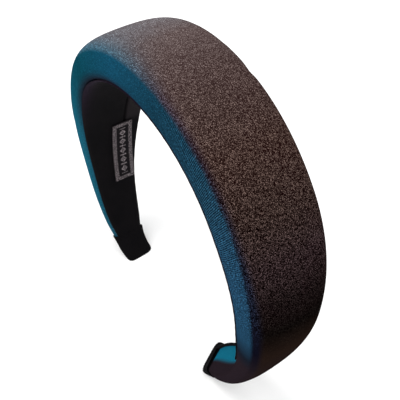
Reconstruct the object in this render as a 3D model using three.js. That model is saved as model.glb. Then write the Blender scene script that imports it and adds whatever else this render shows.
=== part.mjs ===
// Wide padded headband: a foam pad under satin, a cloth lining, a woven label and a ribbon wrap on each tip.
// Millimetres. X runs across the head, Y from front to back, Z up to the crown.
// The band stands on its two tips, and the origin lies on that surface, at the centre of the band's box.

import * as THREE from "three";

// Sizes of the band
const bandLength = 354; // along the lining, from tip to tip
const crownWidth = 41.5; // front to back at the crown
const crownThickness = 16.4; // lining and pad together at the crown
const outerCrowning = 1.1; // how far the middle of the outer face rises over its shoulders
const shoulderPower = 3.9; // 2 is an ellipse, and a higher number a squarer shoulder
const springShare = 0.35; // height of the pad's widest line, as a share of its thickness
const edgeTuck = 0.9; // how far the head-side edges lie inside the widest line
const twistPower = 4; // a higher number keeps the twist of a leg closer to its tip

// Sizes of the cloth pieces
const clearance = 0.3; // between pieces that touch
const liningThickness = 1;
const liningMargin = 0.3; // from the pad's head-side edge to the lining's edge
const wrapLength = 10; // along the lining, up from each tip
const wrapThickness = 1;
const wrapFloor = 1.2; // thickness of the folded ribbon under each tip
const labelLength = 35;
const labelWidth = 10.4;
const labelThickness = 1;
const labelFromCrown = 121; // along the lining, to the label's middle
const labelOffset = 3.9; // from the lining's middle toward its back edge

// Sections from the crown to a tip. Along, width and thickness are shares of half the length and of
// the crown's width and thickness, and turn is how many degrees the band has turned down.
const upperSections = [
  { along: 0, turn: 0, width: 1, thickness: 1 },
  { along: 0.25, turn: 43, width: 0.985, thickness: 1 },
  { along: 0.5, turn: 84.5, width: 0.82, thickness: 0.935 },
];

// The soft legs end differently in the photo: the right one twists toward its tip. The twist is in
// degrees, with the front edge turning outward, and the set back is how far a tip lies behind the crown.
const leftLeg = {
  side: -1,
  tipTwist: -4,
  tipSetBack: 3,
  sections: [
    ...upperSections,
    { along: 0.75, turn: 104, width: 0.56, thickness: 0.65 },
    { along: 0.9, turn: 123, width: 0.44, thickness: 0.37 },
    { along: 1, turn: 139, width: 0.24, thickness: 0.26 },
  ],
};
const rightLeg = {
  side: 1,
  tipTwist: 31,
  tipSetBack: 3.3,
  sections: [
    ...upperSections,
    { along: 0.75, turn: 107, width: 0.52, thickness: 0.59 },
    { along: 0.9, turn: 126, width: 0.48, thickness: 0.44 },
    { along: 1, turn: 109, width: 0.34, thickness: 0.26 },
  ],
};

// Fineness of the faceted surfaces
const legSteps = 30; // from the crown to the edge of a wrap
const wrapSteps = 4; // from the edge of a wrap to the tip inside it
const roundSteps = 20; // round the pad's outer face
const flatSteps = 4; // across each flat side
const labelSteps = 5;
const lineSteps = 60;

const halfLength = bandLength / 2;
const wrapEdge = halfLength - wrapLength;

// Slope at a row of the table that keeps the curve through the rows smooth and without overshoot
function slopeAtRow(sections, column, row) {
  const slope = (left) =>
    (sections[left + 1][column] - sections[left][column]) / (sections[left + 1].along - sections[left].along);
  if (row === 0) {
    return column === "turn" ? slope(0) : 0;
  }
  if (row === sections.length - 1) {
    return slope(row - 1);
  }
  const before = slope(row - 1);
  const after = slope(row);
  return before * after > 0 ? (2 * before * after) / (before + after) : 0;
}

// One column of the table at any share of the way from the crown to a tip
function sectionValue(sections, column, share) {
  let row = 0;
  while (row < sections.length - 2 && share > sections[row + 1].along) {
    row += 1;
  }
  const from = sections[row];
  const to = sections[row + 1];
  const span = to.along - from.along;
  const t = THREE.MathUtils.clamp((share - from.along) / span, 0, 1);
  const rise = to[column] - from[column];
  const startSlope = slopeAtRow(sections, column, row) * span;
  const endSlope = slopeAtRow(sections, column, row + 1) * span;
  const ease = t * t * (3 - 2 * t);
  return from[column] + rise * ease + startSlope * t * (1 - t) ** 2 - endSlope * t * t * (1 - t);
}

// Where the lining's head-side face runs at a distance from the crown, and the band's section there
function stationAt(leg, distance) {
  const share = distance / halfLength;
  const step = distance / lineSteps;
  let reach = 0;
  let height = 0;
  for (let i = 0; i < lineSteps; i += 1) {
    const middleShare = (share * (i + 0.5)) / lineSteps;
    const turn = THREE.MathUtils.degToRad(sectionValue(leg.sections, "turn", middleShare));
    reach += step * Math.cos(turn);
    height -= step * Math.sin(turn);
  }
  return {
    leg,
    distance,
    reach,
    height,
    turn: THREE.MathUtils.degToRad(sectionValue(leg.sections, "turn", share)),
    twist: THREE.MathUtils.degToRad(leg.tipTwist) * share ** twistPower,
    setBack: leg.tipSetBack * share ** 2,
    width: crownWidth * sectionValue(leg.sections, "width", share),
    thickness: crownThickness * sectionValue(leg.sections, "thickness", share),
  };
}

leftLeg.tip = stationAt(leftLeg, halfLength);
rightLeg.tip = stationAt(rightLeg, halfLength);

// Height of the middle of a leg's section, where the leg would end level
function middleLevel(station) {
  return station.height + (station.leg.tip.thickness / 2) * Math.cos(station.turn);
}

const footLevel = (middleLevel(leftLeg.tip) + middleLevel(rightLeg.tip)) / 2;

// Distance from the crown to the level plane that lies a height above the surface under the tips
function distanceAtHeight(leg, height) {
  return halfLength - height / Math.sin(leg.tip.turn);
}

function padEnd(leg) {
  return distanceAtHeight(leg, wrapFloor + clearance);
}

// A point of the band: across runs to the back, out runs away from the head.
// Toward a tip, points slide along the band until the end is level, so that both tips stand flat.
function bandPoint(station, across, out) {
  const leg = station.leg;
  const cos = Math.cos(station.twist);
  const sin = Math.sin(station.twist);
  const turnedAcross = across * cos + out * sin;
  const turnedOut = out * cos - across * sin;
  const reach = station.reach + turnedOut * Math.sin(station.turn);
  const height = station.height + turnedOut * Math.cos(station.turn);
  const share = THREE.MathUtils.smoothstep(station.distance, wrapEdge, padEnd(leg));
  const level = middleLevel(station) + share * (footLevel - middleLevel(leg.tip));
  const slide = share > 0 ? (share * (height - level)) / Math.sin(station.turn) : 0;
  return new THREE.Vector3(
    leg.side * (reach + slide * Math.cos(station.turn)),
    turnedAcross + station.setBack,
    height - slide * Math.sin(station.turn),
  );
}

// Points of a level line, without its last one
function lineAcross(from, to, level) {
  const step = (to - from) / flatSteps;
  return Array.from({ length: flatSteps }, (_, i) => new THREE.Vector2(from + step * i, level));
}

// Outline of a padded section: a flat head side, walls that lean out to the widest line, and a
// crowned outer face with round shoulders, from the back edge over to the front edge
function paddedOutline(station, grow, bottom) {
  const half = station.width / 2 + grow;
  const top = station.thickness + grow;
  const spring = bottom + springShare * (top - bottom);
  const crowning = (outerCrowning * station.thickness) / crownThickness;
  const points = [new THREE.Vector2(half - edgeTuck, bottom)];
  for (let i = 0; i <= roundSteps; i += 1) {
    const angle = (Math.PI * i) / roundSteps;
    const across = Math.sign(Math.cos(angle)) * Math.abs(Math.cos(angle)) ** (2 / shoulderPower);
    const rise = Math.abs(Math.sin(angle)) ** (2 / shoulderPower);
    const out = spring + (top - spring) * rise + crowning * (1 - across ** 2);
    points.push(new THREE.Vector2(half * across, out));
  }
  return [...points, ...lineAcross(edgeTuck - half, half - edgeTuck, bottom)];
}

// Outline of a flat strip, over its top from the back edge to the front edge and back below
function stripOutline(middle, width, bottom, top) {
  const back = middle + width / 2;
  const front = middle - width / 2;
  return [
    ...lineAcross(back, front, top),
    new THREE.Vector2(front, top),
    ...lineAcross(front, back, bottom),
    new THREE.Vector2(back, bottom),
  ];
}

function liningWidth(station) {
  return station.width - 2 * (edgeTuck + liningMargin);
}

function ringAt(station, outline) {
  return outline.map((point) => bandPoint(station, point.x, point.y));
}

// A closed body through rings with as many points each, with both ends closed by a fan
function loft(rings) {
  const count = rings[0].length;
  const sumOf = (ring) => ring.reduce((sum, point) => sum.add(point), new THREE.Vector3());
  const middleOf = (ring) => sumOf(ring).divideScalar(count);
  const points = [...rings.flat(), middleOf(rings[0]), middleOf(rings[rings.length - 1])];
  const startMiddle = points.length - 2;
  const endMiddle = points.length - 1;
  const lastRing = (rings.length - 1) * count;
  const index = [];
  for (let i = 0; i < count; i += 1) {
    const next = (i + 1) % count;
    index.push(startMiddle, next, i);
    index.push(endMiddle, lastRing + i, lastRing + next);
    for (let row = 0; row < lastRing; row += count) {
      index.push(row + i, row + count + next, row + count + i);
      index.push(row + i, row + next, row + count + next);
    }
  }
  const geometry = new THREE.BufferGeometry().setFromPoints(points);
  geometry.setIndex(index);
  geometry.computeVertexNormals();
  return geometry;
}

// Distances from the crown down one leg, closer together inside the wrap
function legDistances(end) {
  const aboveWrap = Array.from({ length: legSteps }, (_, i) => (wrapEdge * (i + 1)) / legSteps);
  return [...aboveWrap, ...wrapDistances(end).slice(1)];
}

function wrapDistances(end) {
  return Array.from({ length: wrapSteps + 1 }, (_, i) => wrapEdge + ((end - wrapEdge) * i) / wrapSteps);
}

// Rings from the left tip over the crown to the right tip
function bandRings(outlineOf) {
  const ring = (leg, distance) => {
    const station = stationAt(leg, distance);
    return ringAt(station, outlineOf(station));
  };
  const left = legDistances(padEnd(leftLeg)).map((distance) => ring(leftLeg, distance));
  const right = legDistances(padEnd(rightLeg)).map((distance) => ring(rightLeg, distance));
  return [...left.reverse(), ring(rightLeg, 0), ...right];
}

function fabric(color, roughness) {
  return new THREE.MeshStandardMaterial({ color, roughness, metalness: 0 });
}

function piece(name, geometry, material) {
  const mesh = new THREE.Mesh(geometry, material);
  mesh.name = name;
  return mesh;
}

function paddedBand() {
  const bottom = liningThickness + clearance;
  return loft(bandRings((station) => paddedOutline(station, 0, bottom)));
}

function lining() {
  return loft(bandRings((station) => stripOutline(0, liningWidth(station), 0, liningThickness)));
}

// The label lies on the lining of the left leg
function label() {
  const top = -clearance;
  const outline = stripOutline(labelOffset, labelWidth, top - labelThickness, top);
  const start = labelFromCrown - labelLength / 2;
  const rings = Array.from({ length: labelSteps + 1 }, (_, i) =>
    ringAt(stationAt(leftLeg, start + (labelLength * i) / labelSteps), outline),
  );
  return loft(rings.reverse());
}

// A ribbon sleeve with a closed foot: up the outside, over the edge and down the inside to the pad's end
function endWrap(leg) {
  const ring = (distance, grow) => {
    const station = stationAt(leg, distance);
    return ringAt(station, paddedOutline(station, grow, -grow));
  };
  const outside = wrapDistances(halfLength).map((distance) => ring(distance, clearance + wrapThickness));
  const inside = wrapDistances(distanceAtHeight(leg, wrapFloor)).map((distance) => ring(distance, clearance));
  const rings = [...outside.reverse(), ...inside];
  return loft(leg === leftLeg ? rings : rings.reverse());
}

const satin = fabric(0x6b5a52, 0.45);
const blackCloth = fabric(0x131115, 0.85);
const labelWeave = fabric(0x1c1a1e, 0.7);
const ribbon = fabric(0x0c0b0d, 0.75);

const headband = new THREE.Group();
headband.name = "wide_headband";
headband.add(piece("padded_band", paddedBand(), satin));
headband.add(piece("lining", lining(), blackCloth));
headband.add(piece("label", label(), labelWeave));
headband.add(piece("end_wrap_left", endWrap(leftLeg), ribbon));
headband.add(piece("end_wrap_right", endWrap(rightLeg), ribbon));

const box = new THREE.Box3().setFromObject(headband);
const middle = box.getCenter(new THREE.Vector3());
headband.position.set(-middle.x, -middle.y, -box.min.z);

export default headband;
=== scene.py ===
"""Dresses the wide padded headband: satin over a foam pad, a cloth lining, a woven label and ribbon tips.

The band stands on its two tips. Sizes are in millimetres, as in the part's source, and each mesh is
written in metres.
"""

import logging
import math
from collections.abc import Callable, Iterable
from dataclasses import dataclass, field
from enum import IntEnum
from functools import cached_property, partial, reduce

import bpy
import numpy as np
from mathutils import Matrix, Vector


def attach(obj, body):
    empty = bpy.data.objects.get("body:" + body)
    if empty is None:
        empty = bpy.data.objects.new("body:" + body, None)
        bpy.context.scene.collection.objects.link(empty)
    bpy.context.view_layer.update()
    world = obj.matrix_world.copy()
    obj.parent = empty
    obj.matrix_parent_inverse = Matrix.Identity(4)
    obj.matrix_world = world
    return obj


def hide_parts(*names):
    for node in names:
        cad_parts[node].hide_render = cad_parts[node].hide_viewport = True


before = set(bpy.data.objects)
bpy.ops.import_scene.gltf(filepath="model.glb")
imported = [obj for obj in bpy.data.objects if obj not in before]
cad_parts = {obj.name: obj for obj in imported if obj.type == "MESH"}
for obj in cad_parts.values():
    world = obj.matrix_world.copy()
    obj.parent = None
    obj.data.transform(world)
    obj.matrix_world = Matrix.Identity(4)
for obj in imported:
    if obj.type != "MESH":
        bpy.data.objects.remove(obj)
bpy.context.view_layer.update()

MILLIMETRE = 0.001
CLOTH_MAP = "cloth"
Array = np.ndarray
Object = bpy.types.Object
Rows = tuple[tuple[float, float, float, float], ...]
Socket = bpy.types.NodeSocket
log = logging.getLogger("headband")


def smooth_step(value: Array, low: Array | float, high: Array | float) -> Array:
    """3 t^2 - 2 t^3 of t = (value - low) / (high - low), held between 0 and 1."""
    t = np.clip((value - low) / (high - low), 0.0, 1.0)
    return t * t * (3 - 2 * t)


def window(value: Array, rise: tuple[float, float], fall: tuple[float, float]) -> Array:
    """A smooth step up over the first span, and down again over the second."""
    return smooth_step(value, *rise) * (1 - smooth_step(value, *fall))


def superellipse(angle: Array, power: float) -> Array:
    """r = (|cos a|^p + |sin a|^p)^(-1/p), the distance from the middle to a superellipse's edge."""
    return (np.abs(np.cos(angle)) ** power + np.abs(np.sin(angle)) ** power) ** (-1 / power)


def cloth_map(along: Array, across: Array) -> Array:
    """A grid's map of its cloth, from places along and across it in millimetres."""
    return np.stack(np.broadcast_arrays(along, across), axis=-1)


def with_seam(across: Array) -> Array:
    """The columns of a ring with the first one once more at the end, for the map's seam."""
    return np.hstack([across, across[:, :1]])


class Side(IntEnum):
    """The two legs of the band, by the sign of X."""

    LEFT = -1
    RIGHT = 1


class Column(IntEnum):
    """The columns of the band's table of sections."""

    TURN = 1
    WIDTH = 2
    THICKNESS = 3


@dataclass(frozen=True)
class Section:
    """The band's section at one or more distances from the crown, as arrays of one shape."""

    distance: Array
    reach: Array
    height: Array
    turn: Array
    twist: Array
    set_back: Array
    width: Array
    thickness: Array


@dataclass(frozen=True)
class Leg:
    """What is a leg's own: its lower sections, its twist in degrees and how far its tip is set back."""

    tip_twist: float
    tip_set_back: float
    lower_sections: Rows


@dataclass
class BandPath:
    """The line that the lining's head side follows, and the band's section along it."""

    length: float = 354.0
    crown_width: float = 41.5
    crown_thickness: float = 16.4
    outer_crowning: float = 1.1
    shoulder_power: float = 3.9
    spring_share: float = 0.35
    edge_tuck: float = 0.9
    twist_power: float = 4.0
    wrap_length: float = 10.0
    wrap_floor: float = 1.2
    clearance: float = 0.3
    fine_steps: int = 1440
    least_sine: float = 0.1
    # Share of the way from the crown to a tip, turn in degrees, shares of the crown's width and thickness
    upper_sections: Rows = (
        (0.0, 0.0, 1.0, 1.0),
        (0.25, 43.0, 0.985, 1.0),
        (0.5, 84.5, 0.82, 0.935),
    )
    left: Leg = Leg(
        tip_twist=-4.0,
        tip_set_back=3.0,
        lower_sections=((0.75, 104.0, 0.56, 0.65), (0.9, 123.0, 0.44, 0.37), (1.0, 139.0, 0.24, 0.26)),
    )
    right: Leg = Leg(
        tip_twist=31.0,
        tip_set_back=3.3,
        lower_sections=((0.75, 107.0, 0.52, 0.59), (0.9, 126.0, 0.48, 0.44), (1.0, 109.0, 0.34, 0.26)),
    )

    @property
    def half(self) -> float:
        """Distance from the crown to a tip."""
        return self.length / 2

    @property
    def wrap_edge(self) -> float:
        """Distance from the crown to the edge of a ribbon wrap."""
        return self.half - self.wrap_length

    @property
    def legs(self) -> dict[Side, Leg]:
        """Both legs by their side."""
        return {Side.LEFT: self.left, Side.RIGHT: self.right}

    @cached_property
    def tables(self) -> dict[Side, Array]:
        """The whole table of sections of each leg."""
        return {side: np.array(self.upper_sections + leg.lower_sections) for side, leg in self.legs.items()}

    @cached_property
    def pad_ends(self) -> dict[Side, float]:
        """Distance from the crown to the end of the pad inside each wrap, by height / sin(turn)."""
        height = self.wrap_floor + self.clearance
        turns = {side: math.radians(self.tables[side][-1, Column.TURN]) for side in Side}
        return {side: self.half - height / math.sin(turns[side]) for side in Side}

    @cached_property
    def walks(self) -> dict[Side, tuple[Array, Array, Array]]:
        """Shares, reach and height along each leg: reach' = cos(turn), height' = -sin(turn)."""
        shares = np.linspace(0.0, 1.0, self.fine_steps + 1)
        middle = (shares[1:] + shares[:-1]) / 2
        step = self.half / self.fine_steps
        walks = {}
        for side in Side:
            turn = np.radians(self.value(Column.TURN, middle, side))
            reach = np.concatenate([[0.0], np.cumsum(np.cos(turn))]) * step
            height = -np.concatenate([[0.0], np.cumsum(np.sin(turn))]) * step
            walks[side] = (shares, reach, height)
        return walks

    @cached_property
    def tip_levels(self) -> dict[Side, float]:
        """Height of the middle of each tip, measured from the crown."""
        levels = {}
        for side in Side:
            table = self.tables[side]
            thickness = self.crown_thickness * table[-1, Column.THICKNESS]
            turn = math.radians(table[-1, Column.TURN])
            levels[side] = float(self.walks[side][2][-1] + thickness / 2 * math.cos(turn))
        return levels

    @cached_property
    def floor_height(self) -> float:
        """Height of the surface under the tips, measured from the crown."""
        return sum(self.tip_levels.values()) / len(Side)

    def distances(self, pitch: float) -> Array:
        """Evenly spaced distances from the left end of the pad to the right end.

        Args:
            pitch: the spacing.

        Returns:
            Signed distances from the crown.
        """
        start, end = -self.pad_ends[Side.LEFT], self.pad_ends[Side.RIGHT]
        return np.linspace(start, end, int(round((end - start) / pitch)) + 1)

    def value(self, column: Column, share: Array, side: Side) -> Array:
        """One column of a leg's table, as a smooth curve through its rows that doesn't overshoot.

        The curve is a cubic between rows. Its slope at a row is the harmonic mean of the slopes on
        both sides, or 0 where they differ in sign.

        Args:
            column: the column to read.
            share: shares of the way from the crown to a tip.
            side: the leg.

        Returns:
            The column's values there.
        """
        table = self.tables[side]
        xs = table[:, 0]
        ys = table[:, column]
        slope = np.diff(ys) / np.diff(xs)
        product = slope[:-1] * slope[1:]
        total = np.where(product > 0, slope[:-1] + slope[1:], 1.0)
        inner = np.where(product > 0, 2 * product / total, 0.0)
        first = slope[0] if column is Column.TURN else 0.0
        at_row = np.concatenate([[first], inner, [slope[-1]]])
        row = np.clip(np.searchsorted(xs, share, side="left") - 1, 0, len(xs) - 2)
        span = xs[row + 1] - xs[row]
        t = np.clip((share - xs[row]) / span, 0.0, 1.0)
        ease = smooth_step(t, 0.0, 1.0)
        start = at_row[row] * span * t * (1 - t) ** 2
        end = at_row[row + 1] * span * t * t * (1 - t)
        return ys[row] + (ys[row + 1] - ys[row]) * ease + start - end

    @staticmethod
    def by_leg(signed: Array, read: Callable[[Side], Array | float]) -> Array:
        """What is read for the left leg where the distance is below 0, and for the right leg elsewhere."""
        return np.where(signed < 0, read(Side.LEFT), read(Side.RIGHT))

    def section(self, signed: Array) -> Section:
        """The section at signed distances from the crown.

        Args:
            signed: distances along the lining, below 0 on the left leg.

        Returns:
            The section's place, turn and size there.
        """
        share = np.clip(np.abs(signed) / self.half, 0.0, 1.0)
        of_leg = partial(self.by_leg, signed)
        return Section(
            distance=np.abs(signed),
            reach=of_leg(lambda side: np.interp(share, self.walks[side][0], self.walks[side][1])),
            height=of_leg(lambda side: np.interp(share, self.walks[side][0], self.walks[side][2])),
            turn=np.radians(of_leg(lambda side: self.value(Column.TURN, share, side))),
            twist=np.radians(of_leg(lambda side: self.legs[side].tip_twist)) * share**self.twist_power,
            set_back=of_leg(lambda side: self.legs[side].tip_set_back) * share**2,
            width=self.crown_width * of_leg(lambda side: self.value(Column.WIDTH, share, side)),
            thickness=self.crown_thickness * of_leg(lambda side: self.value(Column.THICKNESS, share, side)),
        )

    def place(self, signed: Array, across: Array, out: Array) -> Array:
        """Points of the band in the part's frame.

        A point lies across and out from the path after a turn by the twist. Toward a tip it slides
        along the band by share * (height - level) / sin(turn), so that the end comes out level. The
        sine is held at least_sine or more.

        Args:
            signed: distances from the crown, below 0 on the left leg.
            across: offsets toward the back edge.
            out: offsets away from the head.

        Returns:
            An array of points, in millimetres, with the shape of the inputs plus one axis of 3.
        """
        signed, across, out = np.broadcast_arrays(signed, across, out)
        of_leg = partial(self.by_leg, signed)
        s = self.section(signed)
        cos, sin = np.cos(s.twist), np.sin(s.twist)
        turned_across = across * cos + out * sin
        turned_out = out * cos - across * sin
        sin_turn, cos_turn = np.sin(s.turn), np.cos(s.turn)
        reach = s.reach + turned_out * sin_turn
        height = s.height + turned_out * cos_turn
        share = smooth_step(s.distance, self.wrap_edge, of_leg(self.pad_ends.get))
        tip_share = of_leg(lambda side: self.tables[side][-1, Column.THICKNESS])
        middle = s.height + self.crown_thickness * tip_share / 2 * cos_turn
        level = middle + share * (self.floor_height - of_leg(self.tip_levels.get))
        slide = np.where(share > 0, share * (height - level) / np.maximum(sin_turn, self.least_sine), 0.0)
        x = of_leg(lambda side: side) * (reach + slide * cos_turn)
        z = height - slide * sin_turn - self.floor_height
        return np.stack([x, turned_across + s.set_back, z], axis=-1)

    def outer_outline(self, s: Section, grow: float, bottom: float, angle: Array) -> tuple:
        """The walls and outer face of a padded section.

        With r the superellipse's: across = half * r cos a, and
        out = spring + (top - spring) * r sin a + crowning * (1 - (r cos a)^2).

        Args:
            s: the sections, one to a row.
            grow: how far the outline lies outside the pad's own.
            bottom: height of the head-side edges.
            angle: angles from 0 at the back wall to pi at the front wall, one to a column.

        Returns:
            The across and out offsets, rows by columns.
        """
        radius = superellipse(angle, self.shoulder_power)
        unit = radius * np.cos(angle)
        rise = radius * np.maximum(np.sin(angle), 0.0)
        half = (s.width / 2 + grow)[:, None]
        top = (s.thickness + grow)[:, None]
        spring = bottom + self.spring_share * (top - bottom)
        crowning = (self.outer_crowning * s.thickness / self.crown_thickness)[:, None]
        return half * unit, spring + (top - spring) * rise + crowning * (1 - unit**2)


def linked(name: str, data: bpy.types.ID) -> Object:
    """Puts a new object with some data in the scene.

    Args:
        name: name of the object.
        data: its mesh, light or camera.

    Returns:
        The object.
    """
    item = bpy.data.objects.new(name, data)
    bpy.context.scene.collection.objects.link(item)
    return item


def points_of(item: Object) -> Array:
    """The points of an object's mesh, in metres."""
    places = np.empty(3 * len(item.data.vertices), np.float32)
    item.data.vertices.foreach_get("co", places)
    return places.reshape(-1, 3)


@dataclass
class Grid:
    """Rows of points in millimetres, each closed into a ring, with a fan over both end rows."""

    points: Array
    uv: Array
    attributes: dict[str, Array] = field(default_factory=dict)

    def to_object(self, name: str) -> Object:
        """Writes the grid into a new mesh object.

        Corner (row, column) of a quad has index row * columns + column, and the columns wrap
        round. The map has one column more than the points, for the seam.

        Args:
            name: name of the object.

        Returns:
            The object, with a UV map in millimetres and the grid's attributes on its points.
        """
        rows, columns = self.points.shape[:2]
        row, column = np.meshgrid(np.arange(rows - 1), np.arange(columns), indexing="ij")
        row, column = row.ravel(), column.ravel()
        corners = ((0, 0), (0, 1), (1, 1), (1, 0))
        quads = [(row + i) * columns + (column + j) % columns for i, j in corners]
        faces = np.stack(quads, axis=1).tolist()
        face_uv = [np.stack([self.uv[row + i, column + j] for i, j in corners], axis=1)]
        ring = np.arange(columns)
        for end, (near, far) in enumerate(((ring + 1, ring), (ring, ring + 1))):
            start = end * (rows - 1) * columns
            centre = np.full(columns, rows * columns + end)
            faces += np.stack([centre, start + near % columns, start + far % columns], axis=1).tolist()
            middle = np.broadcast_to(self.uv[-end].mean(axis=0), (columns, 2))
            face_uv.append(np.stack([middle, self.uv[-end, near], self.uv[-end, far]], axis=1))
        centres = [self.points[end].mean(axis=0) for end in (0, -1)]
        points = np.concatenate([self.points.reshape(-1, 3), centres]) * MILLIMETRE
        mesh = bpy.data.meshes.new(name)
        mesh.from_pydata(points, [], faces, shade_flat=False)
        mesh.uv_layers.new(name=CLOTH_MAP)
        for key, values in self.attributes.items():
            flat = np.concatenate([values.ravel(), [values[0].mean(), values[-1].mean()]])
            mesh.attributes.new(key, "FLOAT", "POINT").data.foreach_set("value", flat.astype(np.float32))
        mesh.validate()
        corner_uv = np.concatenate([each.reshape(-1, 2) for each in face_uv])
        mesh.uv_layers[CLOTH_MAP].uv.foreach_set("vector", corner_uv.astype(np.float32).ravel())
        return linked(name, mesh)


class Finish:
    """Adds nodes to a new material, and links them to its shader."""

    def __init__(self, name: str, roughness: float, specular: float) -> None:
        """Starts the material.

        Args:
            name: name of the material.
            roughness: the shader's roughness.
            specular: the shader's specular level.
        """
        self.material = bpy.data.materials.new(name)
        self.material.use_nodes = True
        self.nodes = self.material.node_tree.nodes
        self.links = self.material.node_tree.links
        self.shader = next(n for n in self.nodes if n.type == "BSDF_PRINCIPLED")
        self.set("Roughness", roughness)
        self.set("Specular IOR Level", specular)

    def set(self, socket: str, value: object) -> None:
        """Sets a value on the shader's own socket."""
        self.shader.inputs[socket].default_value = value

    def to_shader(self, socket: str, source: Socket) -> None:
        """Links a pattern to a socket of the shader."""
        self.links.new(source, self.shader.inputs[socket])

    def node(self, kind: str, inputs: dict, **settings: object) -> bpy.types.Node:
        """Adds a node.

        Args:
            kind: Blender's name of the node type, less ShaderNode.
            inputs: values or sockets by input name or number.
            settings: the node's own properties.

        Returns:
            The node.
        """
        made = self.nodes.new(f"ShaderNode{kind}")
        for key, value in settings.items():
            setattr(made, key, value)
        for key, value in inputs.items():
            if isinstance(value, Socket):
                self.links.new(value, made.inputs[key])
            else:
                made.inputs[key].default_value = value
        return made

    def math(self, operation: str, first: object, second: object = 0.0, third: object = 0.0) -> Socket:
        """A Math node's result."""
        return self.node("Math", {0: first, 1: second, 2: third}, operation=operation).outputs[0]

    def product(self, *factors: object) -> Socket:
        """The product of two or more values."""
        return reduce(partial(self.math, "MULTIPLY"), factors)

    def value_of(self, attribute: str) -> Socket:
        """An attribute's value on the surface."""
        return self.node("Attribute", {}, attribute_name=attribute).outputs["Fac"]

    def cloth(self) -> Socket:
        """The piece's own cloth map, in millimetres."""
        return self.node("UVMap", {}, uv_map=CLOTH_MAP).outputs["UV"]

    def turned(self, vector: Socket, degrees: float, scale: tuple = (1.0, 1.0, 1.0)) -> Socket:
        """The map turned by an angle, and then scaled along each axis."""
        spin = {"Vector": vector, "Rotation": (0.0, 0.0, math.radians(degrees))}
        spun = self.node("Mapping", spin).outputs[0]
        return self.node("Mapping", {"Vector": spun, "Scale": scale}).outputs[0]

    def noise(self, vector: Socket, scale: float, detail: float = 2.0, roughness: float = 0.5) -> Socket:
        """A noise pattern from 0 to 1."""
        inputs = {"Vector": vector, "Scale": scale, "Detail": detail, "Roughness": roughness}
        return self.node("TexNoise", inputs).outputs["Fac"]

    def waves(self, vector: Socket, scale: float, distortion: float, axis: str = "X") -> Socket:
        """Bands from 0 to 1 that follow each other along an axis of the map."""
        inputs = {"Vector": vector, "Scale": scale, "Distortion": distortion}
        return self.node("TexWave", inputs, bands_direction=axis).outputs["Fac"]

    def between(self, value: object, low: object, high: object, start: float = 0, end: float = 1) -> Socket:
        """A smooth step of a value from low to high, as a result from start to end."""
        inputs = {0: value, 1: low, 2: high, 3: start, 4: end}
        return self.node("MapRange", inputs, interpolation_type="SMOOTHSTEP").outputs[0]

    def blend(self, share: object, first: object, second: object, kind: str = "MIX") -> Socket:
        """Two colours mixed by a share, which is 0 for the first and 1 for the second."""
        inputs = {0: share, 6: first, 7: second}
        return self.node("Mix", inputs, data_type="RGBA", blend_type=kind).outputs[2]

    def ramp(self, value: Socket, stops: tuple) -> Socket:
        """Colours along a value from 0 to 1.

        Args:
            value: the value's socket.
            stops: rows of a place and a screen colour, in order of place.

        Returns:
            The colour's socket.
        """
        made = self.node("ValToRGB", {"Fac": value})
        elements = made.color_ramp.elements
        while len(elements) > 1:
            elements.remove(elements[-1])
        for number, (place, *screen) in enumerate(stops):
            element = elements.new(place) if number else elements[0]
            element.position = place
            element.color = colour(*screen)
        return made.outputs["Color"]

    def bump(self, layers: Iterable) -> None:
        """Stacks bumps on the shader's normal.

        Args:
            layers: pairs of a height socket, from 0 to 1, and its depth in millimetres.
        """
        below = {}
        for height, depth in layers:
            inputs = {"Height": height, "Distance": depth * MILLIMETRE, "Strength": 1.0, **below}
            below = {"Normal": self.node("Bump", inputs).outputs["Normal"]}
        self.to_shader("Normal", below["Normal"])


def colour(red: float, green: float, blue: float) -> tuple[float, float, float, float]:
    """A screen colour of 0 to 255 as a linear colour, by c / 12.92 or ((c + 0.055) / 1.055)^2.4."""
    shares = np.array([red, green, blue]) / 255
    linear = np.where(shares <= 0.04045, shares / 12.92, ((shares + 0.055) / 1.055) ** 2.4)
    return (*(float(c) for c in linear), 1.0)


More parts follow.
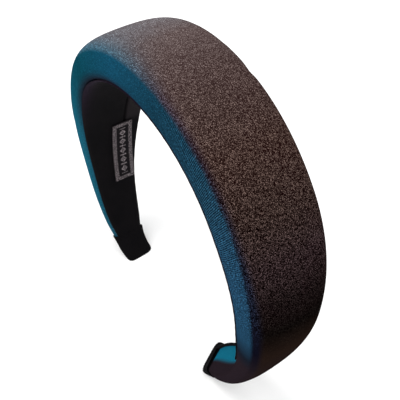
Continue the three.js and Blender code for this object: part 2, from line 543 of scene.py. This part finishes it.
@dataclass(frozen=True)
class SatinFinish:
    """Changeable satin: teal on the walls and bronze brown on the face, darker toward the right tip.

    Each run of colours goes from the left tip, at 0, over the crown, at 0.5, to the right tip, at 1,
    in rows of a place and a screen colour. The runs carry painted light: a painted highlight on the
    face just left of the crown, and painted shade that darkens the band away from it, most toward the
    right tip. A smooth step is a tuple of where it starts and ends, and of what it gives before and after.
    """

    # Face colours with painted light: a painted highlight near 0.4, left of the crown, and painted shade
    # darkest near 0.73, by the right tip.
    face: tuple = (
        (0.0, 40, 31, 32), (0.25, 62, 52, 52), (0.395, 97, 92, 95),
        (0.438, 82, 70, 69), (0.5, 66, 53, 51), (0.568, 57, 43, 39),
        (0.621, 48, 36, 33), (0.661, 40, 29, 30), (0.698, 22, 15, 15),
        (0.73, 11, 8, 7), (0.77, 29, 20, 16), (0.87, 31, 24, 26),
    )
    # Fringe colours, paler at the crown by painted light and darker toward the right tip by painted shade.
    fringe: tuple = (
        (0.3, 52, 90, 108), (0.43, 60, 78, 90), (0.5, 50, 43, 51),
        (0.57, 33, 26, 33), (0.67, 19, 22, 33), (0.76, 9, 9, 20),
        (0.83, 29, 22, 26),
    )
    # Wall colours, lighter on the left leg by painted light and dark by the right tip by painted shade.
    wall: tuple = (
        (0.2, 22, 78, 96), (0.33, 8, 54, 66), (0.42, 15, 58, 78),
        (0.5, 15, 44, 59), (0.6, 23, 49, 65), (0.68, 27, 56, 78),
        (0.745, 25, 54, 75), (0.785, 18, 23, 32), (0.815, 31, 24, 29),
    )
    head_side: tuple = colour(16, 88, 110)
    shade: tuple = colour(24, 18, 26)
    roughness: float = 0.5
    loose_edge: float = 0.16
    later_on_back: tuple = (-8.0, 0.0, 0.3, 0.0)
    fringe_start: tuple = (0.41, 0.54, -0.08, 0.2)
    fringe_end: float = 0.46
    wall_start: tuple = (0.62, 0.74, 0.4, 0.6)
    wall_span: float = 0.26
    head_step: tuple = (1.15, 1.75)
    thread_turn: float = 38.0
    thread_scale: tuple = (4.8, 5.6, 1.0)
    thread_disorder: float = 0.65
    # Painted glints: a few thread cells far brighter than the rest, which keep their own darker tone.
    glint_power: float = 5.0
    glint_gain: float = 6.0
    dullness: float = 0.97
    # The grain is weaker on the walls, up to the crown, where the painted highlight lies, and near the right
    # tip.
    grain_on_wall: tuple = (0.0, 1.0, 1.0, 0.45)
    grain_past_crown: tuple = (0.4, 0.66, 0.42, 1.0)
    grain_near_tip: tuple = (0.7, 0.77, 1.0, 0.12)
    twill_turn: float = 16.0
    twill_scale: float = 0.5
    twill_disorder: float = 1.4
    lines_past_crown: tuple = (0.47, 0.58, 0.5, 1.7)
    lines_near_tip: tuple = (0.61, 0.7, 1.0, 0.2)
    lines_by_thread: tuple = (0.0, 1.0, 0.35, 1.3)
    # Floors and cool tint of the painted light from glints and twill lines.
    least_light: float = 0.03
    least_cool_light: float = 0.02
    coolness: float = 0.16
    bump_depths: tuple = (0.1, 0.05, 0.03)

    def material(self) -> bpy.types.Material:
        """Builds the material.

        The colour follows how far the section leans to the front or the back: 0 on the outer face,
        1 on the walls and 2 on the head side. On the back shoulder the teal starts later. Small
        cells of thread, each of its own tone and a few lit by painted glints, give the face its grain,
        and twill lines run over the walls.

        Returns:
            The material.
        """
        made = Finish("shot_satin", self.roughness, 0.0)
        cloth = made.cloth()
        lean = made.value_of("lean")
        along = made.math("MULTIPLY_ADD", made.value_of("along"), 0.5, 0.5)
        grain = made.noise(cloth, 1.9, 3.0, 0.7)
        slow = made.noise(cloth, 0.12)
        twill = made.waves(made.turned(cloth, self.twill_turn), self.twill_scale, self.twill_disorder)
        threads = made.turned(cloth, self.thread_turn, self.thread_scale)
        inputs = {"Vector": threads, "Scale": 1.0, "Randomness": self.thread_disorder}
        cells = made.node("TexVoronoi", inputs)
        lot = made.node("SeparateColor", {0: cells.outputs["Color"]}).outputs[0]
        loose = made.math("MULTIPLY_ADD", grain, self.loose_edge, -self.loose_edge / 2)
        from_middle = made.node("SeparateXYZ", {0: cloth}).outputs[1]
        later = made.between(from_middle, *self.later_on_back)
        blurred = made.math("SUBTRACT", made.math("ADD", lean, loose), later)
        to_fringe = made.between(blurred, made.between(along, *self.fringe_start), self.fringe_end)
        wall_start = made.between(along, *self.wall_start)
        to_wall = made.between(blurred, wall_start, made.math("ADD", wall_start, self.wall_span))
        base = made.blend(to_fringe, made.ramp(along, self.face), made.ramp(along, self.fringe))
        base = made.blend(to_wall, base, made.ramp(along, self.wall))
        base = made.blend(made.between(lean, *self.head_step), base, self.head_side)
        base = made.blend(made.value_of("shade"), base, self.shade)
        # Painted glints over the thread's own random tone.
        glints = made.math("POWER", lot, self.glint_power)
        grained = made.product(
            made.math("MULTIPLY_ADD", glints, self.glint_gain, -self.dullness),
            made.between(to_wall, *self.grain_on_wall),
            made.between(along, *self.grain_past_crown),
            made.between(along, *self.grain_near_tip),
        )
        lines = made.product(
            made.math("SUBTRACT", twill, 0.5),
            to_wall,
            made.between(along, *self.lines_past_crown),
            made.between(along, *self.lines_near_tip),
            made.between(lot, *self.lines_by_thread),
        )
        # Painted light: glints and twill lines scale the colour, and the cool tint turns their bright parts
        # cooler, toward grey-white.
        light = made.math("ADD", made.math("ADD", grained, lines), 1.0)
        light = made.math("MAXIMUM", light, self.least_light)
        cooler = made.math("MULTIPLY_ADD", light, 1 + self.coolness, -self.coolness)
        cooler = made.math("MAXIMUM", cooler, self.least_cool_light)
        tint = made.node("CombineColor", {0: light, 1: cooler, 2: cooler}).outputs[0]
        made.to_shader("Base Color", made.blend(1.0, base, tint, "MULTIPLY"))
        made.bump(zip((slow, grain, twill), self.bump_depths))
        return made.material


@dataclass(frozen=True)
class PlainClothFinish:
    """A matt dark cloth with a fine plain weave."""

    name: str
    base: tuple
    worn: tuple
    pitch: float
    roughness: float
    specular: float = 0.04
    weave_disorder: float = 0.2
    worn_step: tuple = (0.35, 0.75)
    fade_depth: float = 0.15
    weave_depth: float = 0.05
    # Painted light fading into shade: a violet tint on the lining's front edge over the crown.
    painted_falloff: tuple = colour(26, 18, 30)
    # Painted light on the lit side of the lining's crease.
    crease_side_light: tuple = colour(29, 26, 28)

    def material(self) -> bpy.types.Material:
        """Builds the material: warp and weft waves, faint fading, and two tints where their attributes are
        1: painted light fading into shade at the lining's front edge, and painted light on the lit side of a
        crease.

        Returns:
            The material.
        """
        made = Finish(self.name, self.roughness, self.specular)
        cloth = made.cloth()
        scale = 1.0 / self.pitch / 2
        warp, weft = (made.waves(cloth, scale, self.weave_disorder, axis) for axis in "XY")
        weave = made.math("MAXIMUM", warp, weft)
        fade = made.noise(cloth, 0.09, 3.0, 0.6)
        plain = made.blend(made.between(fade, *self.worn_step), self.base, self.worn)
        with_painted_falloff = made.blend(made.value_of("painted_falloff"), plain, self.painted_falloff)
        made.to_shader("Base Color", made.blend(made.value_of("crease_side_light"), with_painted_falloff, self.crease_side_light))
        made.bump(((fade, self.fade_depth), (weave, self.weave_depth)))
        return made.material


@dataclass(frozen=True)
class LabelFinish:
    """Black damask with pale raised threads."""

    ground: tuple = colour(15, 12, 15)
    thread: tuple = colour(150, 140, 143)
    roughness: float = 0.7
    specular: float = 0.05
    patchy_step: tuple = (0.4, 0.64, 0.12, 0.85)
    depth: float = 0.05

    def material(self) -> bpy.types.Material:
        """Builds the material: the thread attribute picks the colour, and a fine weave roughens it.

        Returns:
            The material.
        """
        made = Finish("damask_label", self.roughness, self.specular)
        cloth = made.cloth()
        ribs = made.waves(cloth, 0.9, 0.5, "Y")
        patchy = made.noise(cloth, 1.5, 2.0, 0.7)
        thread = made.product(made.value_of("thread"), made.between(patchy, *self.patchy_step))
        made.to_shader("Base Color", made.blend(thread, self.ground, self.thread))
        made.bump(((ribs, self.depth), (patchy, self.depth)))
        return made.material


@dataclass
class PaddedBand:
    """The foam pad under its satin cover."""

    path: BandPath
    finish: SatinFinish = SatinFinish()
    bottom: float = 1.3
    slack: float = 0.45
    row_pitch: float = 2.2
    outer_columns: int = 44
    head_columns: int = 15
    wall_columns: int = 3
    pressure: float = 220.0
    frames: int = 20
    reach: float = 1.1
    shade_reach: float = 2.6
    least_shade: float = 0.25
    shade_upper_left: float = 0.65
    wall_curve: float = 0.6
    head_step: tuple = (-0.6, 0.35)
    cloth_quality: int = 6
    cloth_mass: float = 0.002
    stiffness: float = 8.0
    bending_stiffness: float = 2.0

    @property
    def outer(self) -> int:
        """How many columns the walls and the outer face have together."""
        return self.outer_columns + 2 * self.wall_columns

    def outline_angles(self) -> Array:
        """Angles that space the outer columns evenly along the crown's section.

        Returns:
            Angles from 0 at the back wall to pi at the front wall.
        """
        dense = np.linspace(0.0, math.pi, 2001)
        crown = self.path.section(np.zeros(1))
        across, out = self.path.outer_outline(crown, 0.0, self.bottom, dense)
        steps = np.hypot(np.diff(across[0]), np.diff(out[0]))
        girth = np.concatenate([[0.0], np.cumsum(steps)])
        return np.interp(np.linspace(0.0, girth[-1], self.outer_columns), girth, dense)

    def grid(self) -> Grid:
        """The closed ring of points: wall, outer face, wall and head side, from tip to tip.

        Returns:
            The grid, with each point's lean and signed share along as attributes.
        """
        signed = self.path.distances(self.row_pitch)
        s = self.path.section(signed)
        across, out = self.path.outer_outline(s, -self.slack, self.bottom, self.outline_angles())
        edge = (s.width / 2 - self.slack - self.path.edge_tuck)[:, None]
        rise = (np.arange(self.wall_columns) / self.wall_columns)[None, :]
        back_across = edge + (across[:, :1] - edge) * rise**self.wall_curve
        back_out = self.bottom + (out[:, :1] - self.bottom) * rise
        head = np.linspace(-1.0, 1.0, self.head_columns + 2)[None, 1:-1]
        head_across = edge * head
        head_out = np.full_like(head_across, self.bottom)
        all_across = np.hstack([back_across, across, -back_across[:, ::-1], head_across])
        all_out = np.hstack([back_out, out, back_out[:, ::-1], head_out])
        step = np.hypot(
            np.diff(all_across, axis=1, append=all_across[:, :1]),
            np.diff(all_out, axis=1, append=all_out[:, :1]),
        )
        girth = np.hstack([np.zeros((len(signed), 1)), np.cumsum(step, axis=1)])
        outer = self.outer
        middle = girth[:, outer // 2][:, None]
        steep = np.abs(np.gradient(all_out[:, :outer], axis=1))
        flat = np.abs(np.gradient(all_across[:, :outer], axis=1))
        lean = np.arctan2(steep, flat) / (math.pi / 2)
        head_lean = np.broadcast_to(1 + smooth_step(head, *self.head_step), head_across.shape)
        all_lean = np.hstack([lean, head_lean])
        along = np.broadcast_to((signed / self.path.half)[:, None], all_lean.shape)
        from_front = np.abs(girth[:, :-1] - girth[:, outer - 1 : outer])
        near_lining = np.exp(-((from_front / self.shade_reach) ** 2))
        upper_left = window(-signed, (8.0, 35.0), (70.0, 110.0))
        shade = near_lining * (self.least_shade + self.shade_upper_left * upper_left)[:, None]
        shade = shade * (1 - smooth_step(signed, 60.0, 100.0))[:, None]
        return Grid(
            points=self.path.place(signed[:, None], all_across, all_out),
            uv=cloth_map(signed[:, None], girth - middle),
            attributes={"lean": all_lean, "along": along, "shade": shade},
        )

    def swell(self, item: Object, held: Array) -> None:
        """Fills the cover by a cloth simulation, as the foam fills the real one.

        Each point moves by m * min(1, reach / |m|), where m is what the simulation moved it.

        Args:
            item: the cover.
            held: a mask of the points that stay where they are.
        """
        group = item.vertex_groups.new(name="held")
        group.add(np.flatnonzero(held).tolist(), 1.0, "REPLACE")
        cloth = item.modifiers.new("cloth", "CLOTH")
        settings = cloth.settings
        settings.quality = self.cloth_quality
        settings.mass = self.cloth_mass
        settings.tension_stiffness = self.stiffness
        settings.compression_stiffness = self.stiffness
        settings.bending_stiffness = self.bending_stiffness
        settings.vertex_group_mass = group.name
        settings.use_pressure = True
        settings.uniform_pressure_force = self.pressure
        settings.effector_weights.gravity = 0.0
        cloth.point_cache.frame_start = 1
        cloth.point_cache.frame_end = self.frames
        scene = bpy.context.scene
        for number in range(1, self.frames + 1):
            scene.frame_set(number)
        rest = points_of(item)
        shift = points_of(item.evaluated_get(bpy.context.evaluated_depsgraph_get())) - rest
        scene.frame_set(1)
        item.modifiers.remove(cloth)
        item.vertex_groups.clear()
        size = np.linalg.norm(shift, axis=1, keepdims=True)
        reach = self.reach * MILLIMETRE
        capped = shift * np.minimum(1.0, reach / np.maximum(size, 1e-9))
        item.data.vertices.foreach_set("co", (rest + capped).astype(np.float32).ravel())
        item.data.update()
        size = size / MILLIMETRE
        log.info("cover swelled by up to %.2f mm, %.2f mm on average", size.max(), size.mean())

    def build(self) -> Object:
        """Builds and dresses the piece.

        Returns:
            The padded band's object.
        """
        grid = self.grid()
        item = grid.to_object("satin_cover")
        rows, columns = grid.points.shape[:2]
        held = np.zeros((rows, columns), bool)
        held[:, self.outer - 1 :] = True
        held[:, 0] = True
        held[[0, -1]] = True
        self.swell(item, np.concatenate([held.ravel(), [True, True]]))
        item.data.materials.append(self.finish.material())
        finer = item.modifiers.new("finer", "SUBSURF")
        finer.levels = 1
        finer.render_levels = 1
        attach(item, "root")
        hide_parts("padded_band")
        return item


@dataclass
class Lining:
    """The cloth strip on the head side."""

    path: BandPath
    thickness: float = 1.15
    margin: float = 0.3
    edge_roll: float = 1.6
    row_pitch: float = 1.3
    columns: int = 72
    under_columns: int = 8
    crease_across: float = 6.0
    crease_start: float = 86.0
    crease_end: float = 106.0
    crease_depth: float = 1.3
    crease_width: float = 0.6
    crease_slope: float = 0.06
    crease_middle: float = 95.0
    bare_from: float = 0.67
    bare_span: float = 0.09
    bare_width: float = 1.84
    edge_crowding: float = 0.06
    most_roll: float = 0.3
    edge_sink: float = 0.85
    pucker_depth: float = 0.06
    pucker_reach: float = 3.0
    # Reach of the painted falloff tint from the front edge, and where it fades out along the band.
    rim_reach: float = 4.0
    rim_fade: tuple = (60.0, 105.0)

    def grid(self) -> Grid:
        """The closed ring of the strip: the head side with rolled edges, and the back of the cloth.

        With e the distance to the nearer edge, the head side is sunk by
        thickness * edge_sink * (1 - min(e / roll, 1))^2, plus the crease and small puckers.

        Returns:
            The grid.
        """
        signed = self.path.distances(self.row_pitch)[:, None]
        half = self.path.section(signed).width / 2 - self.path.edge_tuck - self.margin
        bare = smooth_step(signed / self.path.half, self.bare_from, self.bare_from + self.bare_span)
        front = -half + bare * half * self.bare_width
        share = np.linspace(0.0, 1.0, self.columns)[None, :]
        ease = share - np.sin(2 * math.pi * share) * self.edge_crowding
        across = half + (front - half) * ease
        distance = np.minimum(half - across, across - front)
        roll = np.minimum(self.edge_roll, (half - front) * self.most_roll)
        sunk = self.thickness * self.edge_sink * (1 - np.clip(distance / roll, 0.0, 1.0)) ** 2
        near_edge = np.exp(-((distance / self.pucker_reach) ** 2))
        phase = 0.9 * np.sin(signed * 0.21) + 1.3 * np.sin(signed * 0.083 + 1.0)
        wave = np.sin(signed * 1.15 + phase + across * 0.25)
        pucker = self.pucker_depth * near_edge * wave
        line = self.crease_across - self.crease_slope * (np.abs(signed) - self.crease_middle)
        rise = (self.crease_start, self.crease_start + 4.0)
        on_line = window(-signed, rise, (self.crease_end - 5.0, self.crease_end))
        crease = self.crease_depth * np.exp(-(((across - line) / self.crease_width) ** 2)) * on_line
        out = sunk + pucker + crease
        under = np.linspace(0.0, 1.0, self.under_columns + 2)[None, 1:-1]
        under_across = front + (half - front) * under
        under_out = np.full_like(under_across, self.thickness)
        all_across = np.hstack([across, under_across])
        all_out = np.hstack([out, under_out])
        # Painted light on the lit side of the crease.
        lit_side_of_crease = smooth_step(all_across - line, 0.3, 0.9) * on_line
        # Painted light fading into shade, as a tint on the front edge over the crown and upper legs.
        upper = 1 - smooth_step(np.abs(signed), *self.rim_fade)
        painted_falloff = upper * np.exp(-(((all_across - front) / self.rim_reach) ** 2))
        return Grid(
            points=self.path.place(signed, all_across, all_out)[:, ::-1],
            uv=cloth_map(signed, with_seam(all_across))[:, ::-1],
            attributes={"painted_falloff": painted_falloff[:, ::-1], "crease_side_light": lit_side_of_crease[:, ::-1]},
        )

    def flat_area(self) -> float:
        """Area of the cut strip in square metres, at its full width before the slanted hem."""
        signed = self.path.distances(1.0)
        width = self.path.section(signed).width - 2 * (self.path.edge_tuck + self.margin)
        return float(np.trapz(width, signed)) * MILLIMETRE**2

    def build(self) -> Object:
        """Builds and dresses the piece.

        Returns:
            The lining's object.
        """
        item = self.grid().to_object("lining_strip")
        base, worn = colour(10, 9, 11), colour(14, 12, 14)
        cloth = PlainClothFinish("black_lining", base, worn, pitch=0.5, roughness=0.9)
        item.data.materials.append(cloth.material())
        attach(item, "root")
        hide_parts("lining")
        self.flat_area()
        return item


@dataclass
class WovenLabel:
    """The small woven label on the left leg's lining."""

    path: BandPath
    finish: LabelFinish = LabelFinish()
    length: float = 35.0
    width: float = 10.4
    middle: float = 121.0
    offset: float = 3.9
    thickness: float = 0.9
    frame_width: float = 1.9
    frame_inset: float = 0.25
    rope_pitch: float = 1.3
    relief: float = 0.22
    cell: float = 0.2
    lift: float = 0.1
    ground_height: float = 0.75
    edge_drop: float = 0.45
    edge_round: float = 0.6
    rib_depth: float = 0.05
    rib_pitch: float = 0.8
    back_width: float = 0.6
    rope_gap: float = 0.35
    chain_pitch: float = 5.6
    chain_gap: float = 1.0
    lozenge_half: tuple = (1.6, 1.9)
    ring_place: float = 0.72

    def pattern(self, down: Array, across: Array) -> Array:
        """Where the pale threads show, from 0 to 1.

        A frame of slanted rope stripes follows the label's edge, with a small dark lozenge
        |x| + |y| < 0.35 in each corner, whose edge is soft up to 0.6. In the middle runs a chain
        of lozenges and bars.

        Args:
            down: distance from the label's upper end.
            across: distance from the label's middle line.

        Returns:
            The share of pale thread.
        """
        to_side = self.width / 2 - np.abs(across)
        to_end = np.minimum(down, self.length - down)
        edge = np.minimum(to_side, to_end)
        inner = self.frame_inset + self.frame_width
        rise = (self.frame_inset - 0.1, self.frame_inset + 0.1)
        frame_mask = window(edge, rise, (inner - 0.12, inner + 0.12))
        corner_middle = self.frame_inset + self.frame_width / 2
        corner = np.abs(to_side - corner_middle) + np.abs(to_end - corner_middle)
        frame_mask = frame_mask * smooth_step(corner, 0.35, 0.6)
        rope = 0.5 + 0.5 * np.sin(2 * math.pi * (down + across) / self.rope_pitch)
        frame_mask = frame_mask * (self.rope_gap + (1 - self.rope_gap) * rope)
        period = self.chain_pitch
        chain_length = self.length - 2 * (inner + self.chain_gap)
        repeats = max(int(chain_length // period), 1)
        start = self.length / 2 - repeats * period / 2
        place = (down - start) % period
        inside = ((down > start) & (down < start + repeats * period)).astype(float)
        half_width, half_length = self.lozenge_half
        lozenge = np.abs(across) / half_width + np.abs(place - period / 2) / half_length
        ring = 1 - smooth_step(np.abs(lozenge - self.ring_place), 0.24, 0.36)
        heart = 1 - smooth_step(lozenge, 0.16, 0.3)
        bar_side = 1 - smooth_step(np.abs(across), 1.4, 1.6)
        bar_end = 1 - smooth_step(np.minimum(place, period - place), 0.3, 0.5)
        chain = np.maximum(np.maximum(ring, heart), bar_side * bar_end) * inside
        return np.clip(np.maximum(frame_mask, chain), 0.0, 1.0)

    def grid(self) -> Grid:
        """The closed ring of the label: its woven face with the threads raised, and its back.

        Returns:
            The grid, with the thread attribute.
        """
        rows = int(round(self.length / self.cell))
        columns = int(round(self.width / self.cell))
        down = np.linspace(0.0, self.length, rows + 1)[:, None]
        share = np.linspace(-0.5, 0.5, columns + 1)[None, :]
        across = np.broadcast_to(share * self.width, (rows + 1, columns + 1))
        thread = self.pattern(down, across)
        edge = np.minimum(self.width / 2 - np.abs(across), np.minimum(down, self.length - down))
        rounded = self.edge_drop * (1 - np.clip(edge / self.edge_round, 0.0, 1.0)) ** 2
        ribs = self.rib_depth * np.sin(down * 2 * math.pi / self.rib_pitch)
        height = self.ground_height + self.relief * thread + ribs - rounded
        back = np.zeros((rows + 1, 2))
        back_across = back + np.array([[0.5, -0.5]]) * self.back_width * self.width
        all_across = np.hstack([across, back_across])
        all_height = np.hstack([height, back])
        all_thread = np.hstack([thread, back])
        signed = -(self.middle - self.length / 2 + down)
        return Grid(
            points=self.path.place(signed, self.offset + all_across, -self.lift - all_height),
            uv=cloth_map(down, with_seam(all_across)),
            attributes={"thread": all_thread},
        )

    def build(self) -> Object:
        """Builds and dresses the piece.

        Returns:
            The label's object.
        """
        item = self.grid().to_object("woven_label")
        item.data.materials.append(self.finish.material())
        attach(item, "root")
        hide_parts("label")
        return item


@dataclass
class TipWrap:
    """The ribbon wrapped round one tip."""

    path: BandPath
    side: Side
    material: bpy.types.Material
    grow: float = 0.06
    flare: float = 1.0
    back_flare: float = 1.7
    ribbon: float = 0.13
    squareness: float = 4.2
    open_front: float = 7.8
    rib_depth: float = 0.07
    ribs: int = 44
    columns_per_rib: int = 4
    rows: int = 18
    hem: float = 1.6
    hem_rows: int = 4
    end_gap: float = 0.02
    open_turn: float = 1.75
    open_power: float = 0.75
    girth: float = 36.0
    row_length: float = 0.55

    @property
    def turns(self) -> Array:
        """Angles round the tip from the back edge, over the outer face, to the front edge and back."""
        return np.linspace(0.0, 2 * math.pi, self.ribs * self.columns_per_rib, endpoint=False)[None, :]

    def edge(self) -> Array:
        """Where the wrap starts at each angle.

        Returns:
            Distances from the crown. The right wrap is shorter on the head side and the back, by
            a power of a half cosine.
        """
        share = (0.5 + 0.5 * np.cos(self.turns - self.open_turn * math.pi)) ** self.open_power
        depth = self.open_front if self.side is Side.RIGHT else 0.0
        return self.path.wrap_edge + depth * share

    def ring(self, distance: Array, grow: Array, ribbed: float, pulled: Array) -> Array:
        """Closed rings round the tip at distances from the crown, with ribs along the leg.

        Args:
            distance: distances from the crown, rows by columns.
            grow: how far the rings lie outside the pad, one to a row.
            ribbed: depth of the ribs.
            pulled: how far the back edge is pulled out, one to a row.

        Returns:
            The points, rows by columns.
        """
        signed = self.side * distance
        s = self.path.section(signed)
        turn = self.turns
        radius = superellipse(turn, self.squareness)
        depth = ribbed * np.cos(turn * self.ribs)
        across = (s.width / 2 + grow + depth) * radius * np.cos(turn)
        across = across + pulled * np.maximum(np.cos(turn), 0.0) ** 0.5
        out = s.thickness / 2 + (s.thickness / 2 + grow + depth) * radius * np.sin(turn)
        return self.path.place(signed, across, out)

    def build(self) -> Object:
        """Builds and dresses the piece.

        Returns:
            The wrap's object.
        """
        start, end = self.edge(), self.path.half - self.end_gap
        share = np.linspace(0.0, 1.0, self.rows)[:, None]
        outside = start + (end - start) * share
        grow = self.grow + self.flare * smooth_step(share, 0.0, 1.0)
        shell = self.ring(outside, grow, self.rib_depth, self.back_flare * share**3)
        hem = np.linspace(0.0, self.hem, self.hem_rows)[:, None]
        inner = self.ring(start + hem, self.grow - self.ribbon + 0 * hem, 0.0, 0 * hem)
        points = np.concatenate([inner[::-1], shell])
        round_tip = np.linspace(0.0, self.girth, points.shape[1] + 1)
        down = np.arange(len(points)) * self.row_length
        if self.side is Side.LEFT:
            points = points[:, ::-1]
        grid = Grid(points, cloth_map(down[:, None], round_tip))
        item = grid.to_object(f"ribbon_wrap_{self.side.name.lower()}")
        item.data.materials.append(self.material)
        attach(item, "root")
        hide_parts(f"end_wrap_{self.side.name.lower()}")
        return item


@dataclass
class Studio:
    """The floor, the lights and the camera at the photo's angle."""

    target: tuple = (0.0, 0.0, 0.070)
    azimuth: float = 50.79
    elevation: float = 53.55
    roll: float = 9.47
    distance: float = 0.44651
    focal_pixels: float = 1074.25
    image_pixels: float = 400.0
    target_pixel: tuple = (181.61, 218.65)
    sensor: float = 36.0
    floor_half: float = 6.0
    sky: float = 1.2
    faced: tuple = (0.0, 0.0, 0.08)

    def camera(self) -> None:
        """Puts the camera at target + distance * back, where back looks from the target to it."""
        a, e, r = (math.radians(x) for x in (self.azimuth, self.elevation, self.roll))
        back = Vector((math.sin(a) * math.cos(e), -math.cos(a) * math.cos(e), math.sin(e)))
        right = Vector((math.cos(a), math.sin(a), 0.0))
        up = back.cross(right)
        rolled_right = right * math.cos(r) + up * math.sin(r)
        rolled_up = up * math.cos(r) - right * math.sin(r)
        data = bpy.data.cameras.new("camera")
        data.sensor_width = self.sensor
        data.lens = self.focal_pixels / self.image_pixels * self.sensor
        middle = self.image_pixels / 2
        data.shift_x = (middle - self.target_pixel[0]) / self.image_pixels
        data.shift_y = (self.target_pixel[1] - middle) / self.image_pixels
        data.clip_start = 0.01
        data.clip_end = 50.0
        item = linked("camera", data)
        turn = Matrix((rolled_right, rolled_up, back)).transposed().to_4x4()
        turn.translation = Vector(self.target) + back * self.distance
        item.matrix_world = turn
        bpy.context.scene.camera = item

    def floor(self) -> None:
        """A plain pale floor, much wider than the view."""
        mesh = bpy.data.meshes.new("floor")
        half = self.floor_half
        corners = [(-half, -half, 0.0), (half, -half, 0.0), (half, half, 0.0), (-half, half, 0.0)]
        mesh.from_pydata(corners, [], [(0, 1, 2, 3)])
        item = linked("floor", mesh)
        made = Finish("pale_floor", 0.9, 0.0)
        made.set("Base Color", (0.93, 0.93, 0.93, 1.0))
        mesh.materials.append(made.material)

    def light(self, name: str, place: tuple, size: float, power: float, tint: tuple) -> None:
        """A square soft box that faces the band's middle.

        Args:
            name: name of the light.
            place: where it stands, in metres.
            size: its side in metres.
            power: its power in watts.
            tint: its colour.
        """
        data = bpy.data.lights.new(name, "AREA")
        data.shape = "SQUARE"
        data.size = size
        data.energy = power
        data.color = tint
        item = linked(name, data)
        item.location = place
        item.rotation_euler = (Vector(self.faced) - Vector(place)).to_track_quat("-Z", "Y").to_euler()

    def build(self) -> None:
        """Builds the whole studio."""
        self.camera()
        self.floor()
        world = bpy.data.worlds.new("studio")
        world.use_nodes = True
        sky = world.node_tree.nodes["Background"]
        sky.inputs["Color"].default_value = (1.0, 1.0, 1.0, 1.0)
        sky.inputs["Strength"].default_value = self.sky
        bpy.context.scene.world = world
        self.light("key", (-0.5, -0.5, 1.3), 0.7, 8.0, (1.0, 0.98, 0.96))
        self.light("front", (0.1, -1.3, 0.5), 0.8, 4.5, (0.97, 0.99, 1.0))
        bpy.context.scene.view_settings.view_transform = "Standard"


def main() -> None:
    """Builds the studio and every piece."""
    logging.basicConfig(level=logging.INFO, format="%(name)s: %(message)s")
    path = BandPath()
    Studio().build()
    cloth = PlainClothFinish("black_ribbon", colour(9, 8, 10), colour(13, 11, 13), pitch=0.4, roughness=0.85)
    ribbon = cloth.material()
    wraps = (TipWrap(path, side, ribbon) for side in Side)
    for piece in (PaddedBand(path), Lining(path), WovenLabel(path), *wraps):
        item = piece.build()
        log.info("%s: %d faces", item.name, len(item.data.polygons))


if __name__ == "__main__":
    main()
